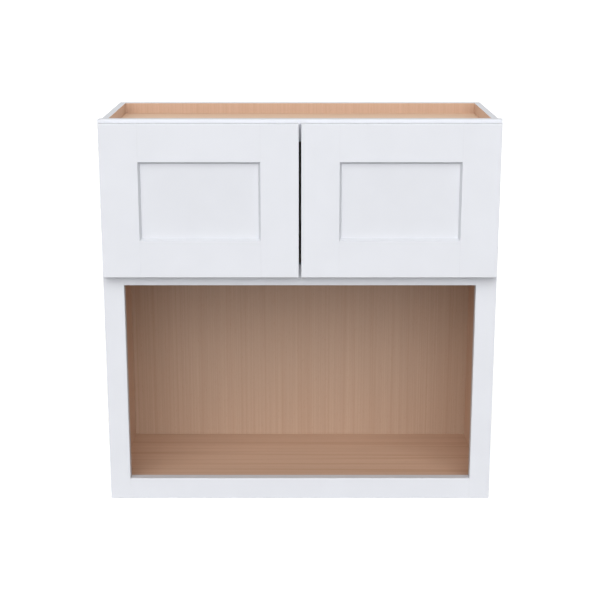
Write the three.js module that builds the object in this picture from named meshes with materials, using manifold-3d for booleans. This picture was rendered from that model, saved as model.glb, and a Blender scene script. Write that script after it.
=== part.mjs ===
// A framed wall cabinet for a microwave: an open bay below, and a cupboard with two shaker doors above.
// Lengths are in millimetres. x runs across the cabinet, y from its front to its back, and z up.
import * as THREE from "three";
import { mergeVertices } from "three/addons/utils/BufferGeometryUtils.js";
import Module from "manifold-3d";

const wasm = await Module();
wasm.setup();

// ---------------------------------------------------------------- driving dimensions

// The box, over the face frame and without the doors
const cabinetWidth = 762;
const cabinetHeight = 762;
const cabinetDepth = 304.8;

// Fits
const glueLine = 0.15; // between two glued or seated faces
const runningFit = 0.3; // between a pin and what turns on it

// Face frame
const frameThickness = 19.05;
const frameStileWidth = 40.3;
const topRailWidth = 42;
const middleRailWidth = 41.3;
const bottomRailWidth = 42.7;
const bayHeight = 398.9; // from the bottom rail to the middle rail
const frameEase = 0.8; // sanded off the front edges
const frameGrooveDepth = 6.35; // in the frame's back, for the carcase
const tenonThickness = 8;
const tenonLength = 17;
const tenonShoulder = 6; // off the rail's top and bottom edge
const mortiseRoom = 1; // left for glue past the tenon's end

// Carcase
const plyThickness = 12.7;
const sideInset = 6.35; // from the frame's edge to the side's outer face
const dadoDepth = 6.35;
const panelShoulder = 3.2; // of a level panel's top face above the tongue that enters the sides and frame
const floorBelowRail = 5.7; // from the bottom rail's top edge down to the floor
const deckBelowRail = 6.2; // from the middle rail's top edge down to the deck
const topRecessDepth = 21; // from the frame's top edge down to the top panel
const backThickness = 6;
const hangingRailThickness = 16;
const hangingRailWidth = 76.2;

// Doors
const doorThickness = 19.05;
const doorStandOff = 3; // from the frame's face to the door's back, which the bumpers fill
const sideReveal = 3;
const topReveal = 5.8;
const middleRailLap = 21; // of the door over the middle rail
const meetingGap = 4.4;
const doorStileWidth = 76.4;
const doorRailWidth = 75.6;
const bevelWidth = 4;
const bevelDepth = 7.5;
const panelThickness = 6;
const panelGrooveDepth = 10;
const panelRoom = 1.5; // for the panel to swell in its groove
const doorEase = 1.5; // radius of the door's outer edges

// Bumpers
const bumperRadius = 4.5;
const bumperAir = 0.25; // from the bumper to the frame
const bumperInset = 11; // from the door's free edge and from the rail's edge

// Concealed hinges, with the pivot inside a cup in the door
const hingeInset = 70; // from the door's end to the hinge's middle
const pivotFromEdge = 8.2; // from the door's outer edge
const pivotDepth = 9.5; // into the door from its back
const pinRadius = 1.25;
const pinLength = 17;
const cupRadius = 17.5;
const cupTab = 3.6; // of wood between the door's edge and the cup
const cupDepth = 13.3;
const cupWall = 0.9;
const cupFlangeWidth = 2;
const cupFlangeThickness = 1;
const boreRoom = 0.2; // between the cup and its bore
const cheekHeight = 5; // of the blocks that hold the pin, past the pin
const wingRadius = 6.5;
const wingOffset = 9.5; // from the cup's middle to its screws, across the door
const wingSpacing = 48; // from screw to screw
const armThickness = 1.5;
const armWidth = 10;
const armSideRoom = 0.6; // between the arm and what it swings between
const eyeRadius = 2.4;
const neckReach = 12.6; // of the arm's neck along the cup's floor
const neckRise = 12.9; // across which the neck climbs out of the cup
const neckBend = 3; // size of the arm's bends
const saddleWidth = 16;
const saddleDepth = 4.5;
const saddleLength = 15;
const adjusterRadius = 3.4;
const adjusterHeight = 2.2;
const adjusterSlot = 1;
const plateThickness = 1.5;
const plateHeight = 48;
const plateSetBack = 1.5; // from the frame's face
const plateEar = 10; // behind the frame
const plateScrewSpacing = 34;

// Screws
const shankRadius = 1.6;
const headRadius = 3.2;
const headHeight = 0.85;
const pilotRoom = 0.15; // around the shank
const cupScrewLength = 12;
const plateScrewLength = 15;
const screwTip = 3;

// Facets of a full turn
const cupFacets = 40;
const pinFacets = 16;
const screwFacets = 12;

// ---------------------------------------------------------------- sizes that follow

const halfWidth = cabinetWidth / 2;
const openingHalf = halfWidth - frameStileWidth;
const bayTop = bottomRailWidth + bayHeight;
const middleRailTop = bayTop + middleRailWidth;
const topRailBottom = cabinetHeight - topRailWidth;

const sideOuter = halfWidth - sideInset;
const sideInner = sideOuter - plyThickness;
const carcaseFront = frameThickness - frameGrooveDepth + glueLine;
const backOuter = cabinetDepth - hangingRailThickness - glueLine;
const backInner = backOuter - backThickness;
const floorTop = bottomRailWidth - floorBelowRail;
const deckTop = middleRailTop - deckBelowRail;
const topPanelTop = cabinetHeight - topRecessDepth;
const tongueSlot = (top) => [top - plyThickness - glueLine, top - panelShoulder + glueLine];

const doorBottom = middleRailTop - middleRailLap;
const doorTop = cabinetHeight - topReveal;
const doorHeight = doorTop - doorBottom;
const doorOuter = halfWidth - sideReveal;
const doorWidth = doorOuter - meetingGap / 2;
const doorBack = -doorStandOff;
const doorFront = doorBack - doorThickness;
const doorPanelFront = doorFront + bevelDepth;

const pivotX = doorOuter - pivotFromEdge; // distance from the cabinet's middle plane
const pivotY = doorBack - pivotDepth;

// ---------------------------------------------------------------- materials

const whitePaint = new THREE.MeshStandardMaterial({ color: 0xe9eaf0, roughness: 0.42, metalness: 0 });
const maplePly = new THREE.MeshStandardMaterial({ color: 0xd9b08f, roughness: 0.5, metalness: 0 });
const rawPly = new THREE.MeshStandardMaterial({ color: 0xc9a27e, roughness: 0.7, metalness: 0 });
const nickelSteel = new THREE.MeshStandardMaterial({ color: 0xb9b8b4, roughness: 0.28, metalness: 1 });
const zincSteel = new THREE.MeshStandardMaterial({ color: 0xc4c6c8, roughness: 0.35, metalness: 1 });
const clearRubber = new THREE.MeshStandardMaterial({ color: 0xdfe3e4, roughness: 0.3, metalness: 0 });

// ---------------------------------------------------------------- solids

// A closed three.js geometry as a solid. A profile drawn the other way round is turned to face out.
function solid(geometry) {
  const bare = geometry.clone();
  bare.deleteAttribute("normal");
  bare.deleteAttribute("uv");
  const merged = mergeVertices(bare, 1e-4);
  const corners = merged.index.array;
  const triangles = [];
  for (let i = 0; i < corners.length; i += 3) {
    const [a, b, c] = [corners[i], corners[i + 1], corners[i + 2]];
    if (a !== b && b !== c && c !== a) triangles.push([a, b, c]);
  }
  const made = (order) => {
    const triVerts = new Uint32Array(triangles.flatMap(order));
    return new wasm.Manifold(
      new wasm.Mesh({ numProp: 3, vertProperties: merged.attributes.position.array, triVerts }),
    );
  };
  const facing = made(([a, b, c]) => [a, b, c]);
  return facing.volume() > 0 ? facing : made(([a, b, c]) => [a, c, b]);
}

function join(first, ...others) {
  return others.reduce((whole, part) => whole.add(part), first);
}

function cut(first, ...tools) {
  return tools.reduce((left, tool) => left.subtract(tool), first);
}

// A block between two values on each axis.
function block([x0, x1], [y0, y1], [z0, z1]) {
  const geometry = new THREE.BoxGeometry(x1 - x0, y1 - y0, z1 - z0);
  return solid(geometry.translate((x0 + x1) / 2, (y0 + y1) / 2, (z0 + z1) / 2));
}

function shapeOf(outline) {
  return new THREE.Shape(outline.map(([x, y]) => new THREE.Vector2(x, y)));
}

// An outline of [x, y] points drawn out along z.
function alongZ(outline, [z0, z1]) {
  const geometry = new THREE.ExtrudeGeometry(shapeOf(outline), { depth: z1 - z0, bevelEnabled: false });
  return solid(geometry.translate(0, 0, z0));
}

// An outline of [z, y] points drawn out along x.
function alongX(outline, [x0, x1]) {
  const flat = shapeOf(outline.map(([z, y]) => [-z, y]));
  const geometry = new THREE.ExtrudeGeometry(flat, { depth: x1 - x0, bevelEnabled: false });
  return solid(geometry.rotateY(Math.PI / 2).translate(x0, 0, 0));
}

// A slab between two values on each axis whose front and back edges are rounded.
function roundedSlab([x0, x1], [y0, y1], [z0, z1], radius, steps) {
  const face = shapeOf([[x0, z0], [x1, z0], [x1, z1], [x0, z1]]);
  const geometry = new THREE.ExtrudeGeometry(face, {
    depth: y1 - y0 - 2 * radius,
    bevelThickness: radius,
    bevelSize: radius,
    bevelOffset: -radius,
    bevelSegments: steps,
  });
  return solid(geometry.rotateX(Math.PI / 2).translate(0, y1 - radius, 0));
}

// A tapered block: one rectangle of x and z at y0, and one grown by spread at y1.
function taperedBlock([x0, x1], [y0, y1], [z0, z1], spread) {
  const ring = (y, grow) => [
    [x0 - grow, y, z0 - grow],
    [x1 + grow, y, z0 - grow],
    [x1 + grow, y, z1 + grow],
    [x0 - grow, y, z1 + grow],
  ];
  const geometry = new THREE.BufferGeometry();
  const points = [...ring(y0, 0), ...ring(y1, spread)].flat();
  geometry.setAttribute("position", new THREE.Float32BufferAttribute(points, 3));
  const sides = [0, 1, 2, 3].flatMap((i) => {
    const next = (i + 1) % 4;
    return [i, next, next + 4, i, next + 4, i + 4];
  });
  geometry.setIndex([0, 2, 1, 0, 3, 2, 4, 5, 6, 4, 6, 7, ...sides]);
  return solid(geometry);
}

// A round bar along an axis, "x", "y" or "z", from one value on it to another.
function bar(axis, radius, [low, high], facets) {
  const geometry = new THREE.CylinderGeometry(radius, radius, high - low, facets);
  if (axis === "x") geometry.rotateZ(Math.PI / 2);
  if (axis === "z") geometry.rotateX(Math.PI / 2);
  const middle = (low + high) / 2;
  const place = { x: [middle, 0, 0], y: [0, middle, 0], z: [0, 0, middle] }[axis];
  return solid(geometry.translate(...place));
}

// A [radius, y] profile turned about y.
function turned(profile, facets) {
  return solid(new THREE.LatheGeometry(profile.map(([r, y]) => new THREE.Vector2(r, y)), facets));
}

// The outline of a strip of one thickness that is bent along a path.
function stripOutline(path, thickness) {
  const points = path.getPoints(5).filter((p, i, all) => i === 0 || p.distanceTo(all[i - 1]) > 1e-6);
  const side = (sign) =>
    points.map((point, i) => {
      const before = points[Math.max(i - 1, 0)];
      const after = points[Math.min(i + 1, points.length - 1)];
      const inward = i ? point.clone().sub(before).normalize() : after.clone().sub(point).normalize();
      const onward = i < points.length - 1 ? after.clone().sub(point).normalize() : inward;
      const along = inward.clone().add(onward).normalize();
      const reach = (sign * thickness) / 2 / along.dot(inward);
      return [point.x - along.y * reach, point.y + along.x * reach];
    });
  return [...side(1), ...side(-1).reverse()];
}

// Puts a solid in a group as a named mesh.
function place(group, name, made, material) {
  const { numProp, vertProperties, triVerts } = made.getMesh();
  const geometry = new THREE.BufferGeometry();
  const points = new Float32Array((vertProperties.length / numProp) * 3);
  for (let i = 0; i * 3 < points.length; i++) {
    points.set(vertProperties.subarray(i * numProp, i * numProp + 3), i * 3);
  }
  geometry.setAttribute("position", new THREE.BufferAttribute(points, 3));
  geometry.setIndex(new THREE.BufferAttribute(new Uint32Array(triVerts), 1));
  const flat = geometry.toNonIndexed();
  flat.computeVertexNormals();
  const mesh = new THREE.Mesh(flat, material);
  mesh.name = name;
  group.add(mesh);
}

// ---------------------------------------------------------------- face frame

// The openings of the frame, each with its sanded front edge.
function openingEase([z0, z1]) {
  const reach = frameEase * 2;
  return taperedBlock([-openingHalf, openingHalf], [frameEase, frameEase - reach], [z0, z1], reach);
}

// What the frame's outer edges keep when they are sanded.
function frameEnvelope() {
  const past = frameThickness + 2 * frameEase; // behind the frame, so that its back stays square
  return roundedSlab([-halfWidth, halfWidth], [0, past], [0, cabinetHeight], frameEase, 2);
}

function tenon(x, [z0, z1], room) {
  const middle = frameThickness / 2;
  const half = tenonThickness / 2 + room;
  return block(x, [middle - half, middle + half], [z0 + tenonShoulder - room, z1 - tenonShoulder + room]);
}

function buildFaceFrame(group, hingeCutters) {
  const envelope = frameEnvelope();
  const eases = [openingEase([bottomRailWidth, bayTop]), openingEase([middleRailTop, topRailBottom])];
  const rails = [
    { name: "frame_bottom_rail", z: [0, bottomRailWidth], panelTop: floorTop },
    { name: "frame_middle_rail", z: [bayTop, middleRailTop], panelTop: deckTop },
    { name: "frame_top_rail", z: [topRailBottom, cabinetHeight], panelTop: topPanelTop },
  ];
  const grooveFront = frameThickness - frameGrooveDepth;

  const mortiseEnd = openingHalf + tenonLength + mortiseRoom;
  let stile = block([openingHalf, halfWidth], [0, frameThickness], [0, cabinetHeight]);
  stile = cut(
    stile.intersect(envelope),
    ...eases,
    block([sideInner - glueLine, sideOuter + glueLine], [grooveFront, cabinetDepth], [-1, cabinetHeight + 1]),
    ...rails.map((rail) => tenon([openingHalf - 1, mortiseEnd], rail.z, glueLine)),
    ...hingeCutters,
  );
  for (const [side, sign] of [["left", -1], ["right", 1]]) {
    const hand = new THREE.Group();
    hand.scale.x = sign;
    place(hand, `frame_${side}_stile`, stile, whitePaint);
    group.add(hand);
  }

  for (const { name, z, panelTop } of rails) {
    const shoulder = openingHalf - glueLine;
    const tongueEnd = openingHalf + tenonLength;
    const body = block([-shoulder, shoulder], [0, frameThickness], z);
    const groove = block([-halfWidth, halfWidth], [grooveFront, cabinetDepth], tongueSlot(panelTop));
    const shaped = cut(body.intersect(envelope), ...eases, groove);
    place(group, name, join(shaped, tenonCore([-tongueEnd, tongueEnd], z, grooveFront)), whitePaint);
  }
}

// The tenons of one rail as one tongue through it, kept clear of the panel groove.
function tenonCore(x, z, grooveFront) {
  const whole = tenon(x, z, 0);
  const inner = openingHalf - glueLine;
  return cut(whole, block([-inner, inner], [grooveFront, frameThickness], z));
}

// ---------------------------------------------------------------- carcase

function buildCarcase(group) {
  const panels = [
    { name: "floor_panel", top: floorTop },
    { name: "deck_panel", top: deckTop },
    { name: "top_panel", top: topPanelTop },
  ];
  const dadoFloor = sideInner + dadoDepth;

  const side = cut(
    block([sideInner, sideOuter], [carcaseFront, cabinetDepth], [0, cabinetHeight]),
    ...panels.map(({ top }) =>
      block([sideInner - 1, dadoFloor], [carcaseFront - 1, backInner + 1], tongueSlot(top)),
    ),
    block([sideInner - 1, dadoFloor], [backInner - glueLine, backOuter + glueLine], [-1, cabinetHeight + 1]),
  );
  for (const [hand, sign] of [["left", -1], ["right", 1]]) {
    const mirrored = new THREE.Group();
    mirrored.scale.x = sign;
    place(mirrored, `${hand}_side_panel`, side, whitePaint);
    group.add(mirrored);
  }

  // Each level panel has a thinner tongue, which runs in the dados of the sides and enters the frame
  // between its stiles. Its top face stops at the shoulder, against the sides and the frame.
  const panelEnd = dadoFloor - glueLine;
  const shoulderEnd = sideInner - glueLine;
  const tongueEnd = openingHalf - glueLine;
  const behindFrame = frameThickness + glueLine;
  const panelBack = backInner - glueLine;
  for (const { name, top } of panels) {
    const outline = [
      [-panelEnd, behindFrame],
      [-tongueEnd, behindFrame],
      [-tongueEnd, carcaseFront],
      [tongueEnd, carcaseFront],
      [tongueEnd, behindFrame],
      [panelEnd, behindFrame],
      [panelEnd, panelBack],
      [-panelEnd, panelBack],
    ];
    const tongued = alongZ(outline, [top - plyThickness, top - panelShoulder]);
    const board = block([-shoulderEnd, shoulderEnd], [behindFrame, panelBack], [top - plyThickness, top]);
    place(group, name, join(tongued, board), maplePly);
  }

  place(
    group,
    "back_panel",
    block([-panelEnd, panelEnd], [backInner, backOuter], [0, cabinetHeight]),
    maplePly,
  );

  const railEnd = sideInner - glueLine;
  const hangingRails = [
    { name: "upper_hanging_rail", z: [cabinetHeight - hangingRailWidth, cabinetHeight] },
    { name: "lower_hanging_rail", z: [0, hangingRailWidth] },
  ];
  for (const { name, z } of hangingRails) {
    place(group, name, block([-railEnd, railEnd], [backOuter + glueLine, cabinetDepth], z), rawPly);
  }
}

// ---------------------------------------------------------------- doors

// The section of a door member. s runs in from the door's outer edge and y from its front to its back.
function stickingOutline(width, gap) {
  const grooveFront = doorPanelFront - gap;
  const grooveBack = doorPanelFront + panelThickness + glueLine + gap;
  const grooveFloor = width - panelGrooveDepth;
  return [
    [0, doorFront],
    [width - bevelWidth, doorFront],
    [width, grooveFront],
    [grooveFloor, grooveFront],
    [grooveFloor, grooveBack],
    [width, grooveBack],
    [width, doorBack],
    [0, doorBack],
  ];
}

// One door, drawn with its hinge side at x = 0, its free side at x = doorWidth and its bottom at z = 0.
function buildDoor(group, name, hingeCutters) {
  const envelope = roundedSlab([0, doorWidth], [doorFront, doorBack], [0, doorHeight], doorEase, 3);
  const z = [0, doorHeight];
  const sticking = stickingOutline(doorStileWidth, 0);
  const hingeStile = alongZ(sticking, z).intersect(envelope);
  const meetingStile = alongZ(sticking.map(([s, y]) => [doorWidth - s, y]), z).intersect(envelope);
  place(group, `${name}_hinge_stile`, cut(hingeStile, ...hingeCutters), whitePaint);
  place(group, `${name}_meeting_stile`, meetingStile, whitePaint);

  // A rail is coped over the stiles' bevel, and its tongue enters their groove.
  const copeHeight = [-1, doorHeight + 1];
  const copeLeft = sticking.map(([s, y]) => [s + glueLine, y]);
  const copeRight = copeLeft.map(([s, y]) => [doorWidth - s, y]);
  const copeEnd = doorStileWidth - bevelWidth + glueLine;
  const coped = [
    alongZ(copeLeft, copeHeight),
    alongZ(copeRight, copeHeight),
    block([-1, copeEnd], [doorFront - 1, 0], copeHeight),
    block([doorWidth - copeEnd, doorWidth + 1], [doorFront - 1, 0], copeHeight),
  ];
  const tongueStart = doorStileWidth - panelGrooveDepth + glueLine;
  const tongueY = [doorPanelFront + glueLine, doorPanelFront + panelThickness];
  const railSection = stickingOutline(doorRailWidth, 0);
  const rails = [
    { rail: "bottom_rail", section: railSection, tongueZ: [0, doorRailWidth - panelGrooveDepth] },
    {
      rail: "top_rail",
      section: railSection.map(([s, y]) => [doorHeight - s, y]),
      tongueZ: [doorHeight - doorRailWidth + panelGrooveDepth, doorHeight],
    },
  ];
  for (const { rail, section, tongueZ } of rails) {
    const body = cut(alongX(section, [0, doorWidth]), ...coped);
    const tongue = block([tongueStart, doorWidth - tongueStart], tongueY, tongueZ);
    place(group, `${name}_${rail}`, join(body, tongue).intersect(envelope), whitePaint);
  }

  const intoStile = doorStileWidth - panelGrooveDepth + panelRoom;
  const intoRail = doorRailWidth - panelGrooveDepth + panelRoom;
  const panel = block(
    [intoStile, doorWidth - intoStile],
    [doorPanelFront + glueLine, doorPanelFront + panelThickness],
    [intoRail, doorHeight - intoRail],
  );
  place(group, `${name}_panel`, panel, whitePaint);
}

// A clear stick-on dome behind each free corner of the door.
function buildBumpers(group, name) {
  const height = doorStandOff - bumperAir - glueLine;
  const dome = turned(
    [
      [0, 0],
      [bumperRadius, 0],
      [bumperRadius, height * 0.35],
      [bumperRadius * 0.84, height * 0.75],
      [bumperRadius * 0.5, height],
      [0, height],
    ],
    cupFacets / 2,
  );
  const x = doorWidth - bumperInset;
  const spots = [["lower", middleRailLap / 2], ["upper", doorHeight - bumperInset]];
  for (const [spot, z] of spots) {
    place(group, `${name}_${spot}_bumper`, dome.translate([x, doorBack + glueLine, z]), clearRubber);
  }
}

// ---------------------------------------------------------------- hinges

// Each hinge is drawn about its pivot: x away from the door's outer edge, y towards the cabinet's back.
const backPlane = pivotDepth; // the door's back
const facePlane = pivotDepth + doorStandOff; // the frame's face
const edgePlane = frameStileWidth - sideReveal - pivotFromEdge; // the stile's edge in the opening
const cupX = cupTab + cupRadius - pivotFromEdge;
const cupFloor = backPlane - cupDepth + cupWall;
const wingX = cupX + wingOffset;
const plateX = edgePlane + glueLine;
const saddleX = plateX + plateThickness + glueLine;
const plateScrewY = facePlane + frameThickness / 2;

// A screw with its head's seat at the origin and its head towards +y.
function screw(length) {
  return turned(
    [
      [0, -length],
      [shankRadius, screwTip - length],
      [shankRadius, 0],
      [headRadius, 0],
      [headRadius, headHeight * 0.45],
      [headRadius * 0.6, headHeight],
      [0, headHeight],
    ],
    screwFacets,
  );
}

// The hole that a screw is driven into, with its mouth past whatever the screw clamps.
function pilot(length) {
  return bar("y", shankRadius + pilotRoom, [-length - pilotRoom, plateThickness * 2], screwFacets);
}

const wingZ = [-wingSpacing / 2, wingSpacing / 2];
const plateScrewZ = [-plateScrewSpacing / 2, plateScrewSpacing / 2];
const facingIn = [0, 0, -90]; // turns a screw's head from +y to +x, into the opening

// What the cup and its screws take out of the door.
function cupBore() {
  const bore = bar("y", cupRadius + boreRoom, [backPlane - cupDepth - boreRoom, backPlane + 1], cupFacets);
  const holes = wingZ.map((z) => pilot(cupScrewLength).translate([wingX, backPlane, z]));
  return join(bore.translate([cupX, 0, 0]), ...holes);
}

// What the plate's screws take out of the frame.
function plateHoles() {
  return plateScrewZ.map((z) =>
    pilot(plateScrewLength).rotate(facingIn).translate([edgePlane, plateScrewY, z]),
  );
}

function buildCup(group, name) {
  const inside = cupRadius - cupWall;
  const rim = backPlane + cupFlangeThickness;
  const flangeRadius = cupRadius + cupFlangeWidth;
  const shell = turned(
    [
      [0, backPlane - cupDepth],
      [cupRadius, backPlane - cupDepth],
      [cupRadius, backPlane + glueLine],
      [flangeRadius, backPlane + glueLine],
      [flangeRadius, rim],
      [inside, rim],
      [inside, cupFloor],
      [0, cupFloor],
    ],
    cupFacets,
  ).translate([cupX, 0, 0]);

  // The wings carry the screws. The flange is open where the arm passes, and flush by the door's edge.
  const wingY = [backPlane + glueLine, rim];
  const wings = wingZ.map((z) => bar("y", wingRadius, wingY, screwFacets * 2).translate([wingX, 0, z]));
  const web = block([wingX - wingRadius, wingX + wingRadius], wingY, wingZ);
  const mouth = bar("y", inside, [cupFloor, rim + 1], cupFacets).translate([cupX, 0, 0]);
  const passHalf = armWidth / 2 + armSideRoom;
  const pass = block([cupX, cupX + flangeRadius + 1], [backPlane, rim + 1], [-passHalf, passHalf]);
  const outboard = block([-pivotFromEdge, cupX - cupRadius], [backPlane, rim + 1], [-cupRadius, cupRadius]);
  const holes = wingZ.map((z) => pilot(cupScrewLength).translate([wingX, backPlane, z]));
  const flange = cut(join(web, ...wings), mouth);

  // A cheek on each side of the arm holds the pin.
  const cheeks = [-1, 1].map((sign) => {
    const ends = [sign * passHalf, sign * cupRadius].sort((a, b) => a - b);
    const whole = block([pivotFromEdge * -1, cheekHeight], [cupFloor - cupWall / 2, cheekHeight / 2], ends);
    return whole.intersect(bar("y", cupRadius - cupWall / 2, [cupFloor - cupWall, rim], cupFacets)
      .translate([cupX, 0, 0]));
  });
  const pinHoleHalf = pinLength / 2 + glueLine;
  const pinHole = bar("z", pinRadius + glueLine, [-pinHoleHalf, pinHoleHalf], pinFacets);
  const body = join(shell, flange, ...cheeks);
  place(group, `${name}_cup`, cut(body, pass, outboard, ...holes, pinHole), nickelSteel);
  place(group, `${name}_pin`, bar("z", pinRadius, [-pinLength / 2, pinLength / 2], pinFacets), zincSteel);
  wingZ.forEach((z, i) => {
    const seated = screw(cupScrewLength).translate([wingX, rim + glueLine, z]);
    place(group, `${name}_cup_screw_${i + 1}`, seated, zincSteel);
  });
}

// The arm turns on the pin: it lies along the cup's floor, climbs out, and passes round the frame's edge.
function buildArm(group, name) {
  const floorLine = armThickness / 2 - eyeRadius;
  const gapLine = facePlane - doorStandOff / 2;
  const saddleLine = saddleX + armThickness / 2;
  const climbEnd = neckReach + neckRise;
  const slope = new THREE.Vector2(neckRise, gapLine - floorLine).setLength(neckBend);
  const saddleEnd = facePlane + plateSetBack + saddleLength;
  const path = new THREE.Path()
    .moveTo(0, floorLine)
    .lineTo(neckReach - neckBend, floorLine)
    .quadraticCurveTo(neckReach, floorLine, neckReach + slope.x, floorLine + slope.y)
    .lineTo(climbEnd - slope.x, gapLine - slope.y)
    .quadraticCurveTo(climbEnd, gapLine, climbEnd + neckBend / 2, gapLine)
    .lineTo(saddleLine - neckBend / 2, gapLine)
    .quadraticCurveTo(saddleLine, gapLine, saddleLine, gapLine + neckBend / 2)
    .lineTo(saddleLine, saddleEnd);
  const widthRange = [-armWidth / 2, armWidth / 2];
  const strip = alongZ(stripOutline(path, armThickness), widthRange);
  const eye = bar("z", eyeRadius, widthRange, pinFacets);
  const eyeHole = bar("z", pinRadius + runningFit, [-armWidth, armWidth], pinFacets);

  // The saddle is a channel over the plate, with the cam screw that sets the door.
  const saddleY = [facePlane + plateSetBack, saddleEnd];
  const half = saddleWidth / 2;
  const web = block([saddleX, saddleX + armThickness], saddleY, [-half, half]);
  const walls = [[-half, armThickness - half], [half - armThickness, half]].map((z) =>
    block([saddleX, saddleX + saddleDepth], saddleY, z),
  );
  const camY = saddleEnd - saddleLength / 2;
  const camTop = saddleX + armThickness + adjusterHeight;
  const cam = bar("x", adjusterRadius, [saddleX + armThickness / 2, camTop], screwFacets * 2);
  const slot = block(
    [camTop - adjusterSlot, camTop + 1],
    [camY - adjusterRadius, camY + adjusterRadius],
    [-adjusterSlot / 2, adjusterSlot / 2],
  );
  const saddle = cut(join(web, ...walls, cam.translate([0, camY, 0])), slot);
  place(group, `${name}_arm`, cut(join(strip, eye, saddle), eyeHole), nickelSteel);
}

// The plate lies on the stile's edge and hooks behind it.
function buildPlate(group, name) {
  const half = plateHeight / 2;
  const behind = facePlane + frameThickness + glueLine;
  const x = [plateX, plateX + plateThickness];
  const edge = block(x, [facePlane + plateSetBack, behind + plateThickness], [-half, half]);
  const ear = block([plateX - plateEar, x[1]], [behind, behind + plateThickness], [-half, half]);
  const plate = cut(join(edge, ear), ...plateHoles());
  place(group, `${name}_plate`, plate, nickelSteel);
  plateScrewZ.forEach((z, i) => {
    const seated = screw(plateScrewLength).rotate(facingIn).translate([x[1] + glueLine, plateScrewY, z]);
    place(group, `${name}_plate_screw_${i + 1}`, seated, zincSteel);
  });
}

// ---------------------------------------------------------------- assembly

const hinges = [
  { level: "lower", z: hingeInset },
  { level: "upper", z: doorHeight - hingeInset },
];

const cabinet = new THREE.Group();
cabinet.name = "cabinet";

// The frame's stile is cut on the right side and mirrored, so the hinges' places are given there.
const stileCutters = hinges.flatMap(({ z }) =>
  plateHoles().map((hole) => hole.mirror([1, 0, 0]).translate([pivotX, pivotY, doorBottom + z])),
);
buildFaceFrame(cabinet, stileCutters);
buildCarcase(cabinet);

for (const [side, sign] of [["left", 1], ["right", -1]]) {
  // The hand's frame runs from the pivot line at the door's bottom towards the cabinet's middle.
  const hand = new THREE.Group();
  hand.position.set(-sign * pivotX, pivotY, doorBottom);
  hand.scale.x = sign;
  cabinet.add(hand);

  // Turning this group about z swings the door.
  const swinging = new THREE.Group();
  swinging.name = `${side}_door_swing`;
  hand.add(swinging);

  const door = new THREE.Group();
  door.position.set(-pivotFromEdge, -pivotY, 0);
  swinging.add(door);
  const bores = hinges.map(({ z }) => cupBore().translate([pivotFromEdge, pivotY, z]));
  buildDoor(door, `${side}_door`, bores);
  buildBumpers(door, `${side}_door`);

  for (const { level, z } of hinges) {
    const name = `${side}_${level}_hinge`;
    const onDoor = new THREE.Group();
    onDoor.position.z = z;
    swinging.add(onDoor);
    buildCup(onDoor, name);

    const onFrame = new THREE.Group();
    onFrame.position.z = z;
    hand.add(onFrame);
    buildArm(onFrame, name);
    buildPlate(onFrame, name);
  }
}

// The origin is under the middle of the whole, doors included.
const overallDepth = cabinetDepth - doorFront;
cabinet.position.y = -doorFront - overallDepth / 2;

const microwaveCabinet = new THREE.Group();
microwaveCabinet.name = "microwave_cabinet";
microwaveCabinet.add(cabinet);

export default microwaveCabinet;
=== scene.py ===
"""Finishes, fine hardware and a studio for a framed microwave wall cabinet.

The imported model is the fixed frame: +X runs across the cabinet, +Y from its doors to the wall, +Z up,
and every length is in metres.
"""

import math

import bmesh
import bpy
from bpy.props import FloatProperty, FloatVectorProperty, IntProperty, PointerProperty
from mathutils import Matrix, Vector


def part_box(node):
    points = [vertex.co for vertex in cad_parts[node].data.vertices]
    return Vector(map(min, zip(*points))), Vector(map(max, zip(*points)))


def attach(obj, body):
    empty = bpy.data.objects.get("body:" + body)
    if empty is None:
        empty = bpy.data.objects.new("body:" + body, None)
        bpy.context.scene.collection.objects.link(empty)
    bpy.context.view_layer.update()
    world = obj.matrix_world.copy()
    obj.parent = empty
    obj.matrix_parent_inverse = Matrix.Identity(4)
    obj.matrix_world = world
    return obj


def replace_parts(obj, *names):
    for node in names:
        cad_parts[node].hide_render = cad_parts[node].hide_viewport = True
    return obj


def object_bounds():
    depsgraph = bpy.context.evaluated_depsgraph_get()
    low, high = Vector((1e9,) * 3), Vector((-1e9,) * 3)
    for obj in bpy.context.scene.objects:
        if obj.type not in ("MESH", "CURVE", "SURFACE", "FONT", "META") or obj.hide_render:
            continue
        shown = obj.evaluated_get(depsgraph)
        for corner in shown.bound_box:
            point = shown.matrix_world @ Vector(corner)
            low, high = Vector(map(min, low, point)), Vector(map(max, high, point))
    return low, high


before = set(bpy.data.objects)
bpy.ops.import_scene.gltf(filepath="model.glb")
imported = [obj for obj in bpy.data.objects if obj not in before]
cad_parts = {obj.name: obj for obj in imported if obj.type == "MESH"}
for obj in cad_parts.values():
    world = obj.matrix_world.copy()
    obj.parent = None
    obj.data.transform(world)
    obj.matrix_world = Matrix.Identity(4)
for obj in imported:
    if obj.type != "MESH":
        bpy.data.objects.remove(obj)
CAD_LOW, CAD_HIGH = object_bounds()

bl_info = {
    "name": "Microwave Cabinet Finishes",
    "version": (1, 0, 0),
    "blender": (4, 5, 0),
    "location": "View3D > Sidebar > Cabinet",
    "description": "Paints, veneers and fits out a microwave wall cabinet and lights it in a studio",
    "category": "Object",
}

MM = 0.001
SIDES = ("left", "right")
LEVELS = ("lower", "upper")


# ------------ the cabinet's own pieces

FACE_FRAME = [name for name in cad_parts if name.startswith("frame_")]
INNER_PANELS = ["floor_panel", "deck_panel"]
SIDE_PANELS = [f"{side}_side_panel" for side in SIDES]
HANGING_RAILS = ["upper_hanging_rail", "lower_hanging_rail"]
DOOR_BOARDS = ["hinge_stile", "meeting_stile", "top_rail", "bottom_rail"]
HINGES = [(side, f"{side}_{level}_hinge") for side in SIDES for level in LEVELS]


def middle(node):
    """The middle of a node's box."""
    low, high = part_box(node)
    return (low + high) / 2


# ------------ colour and node helpers

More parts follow.
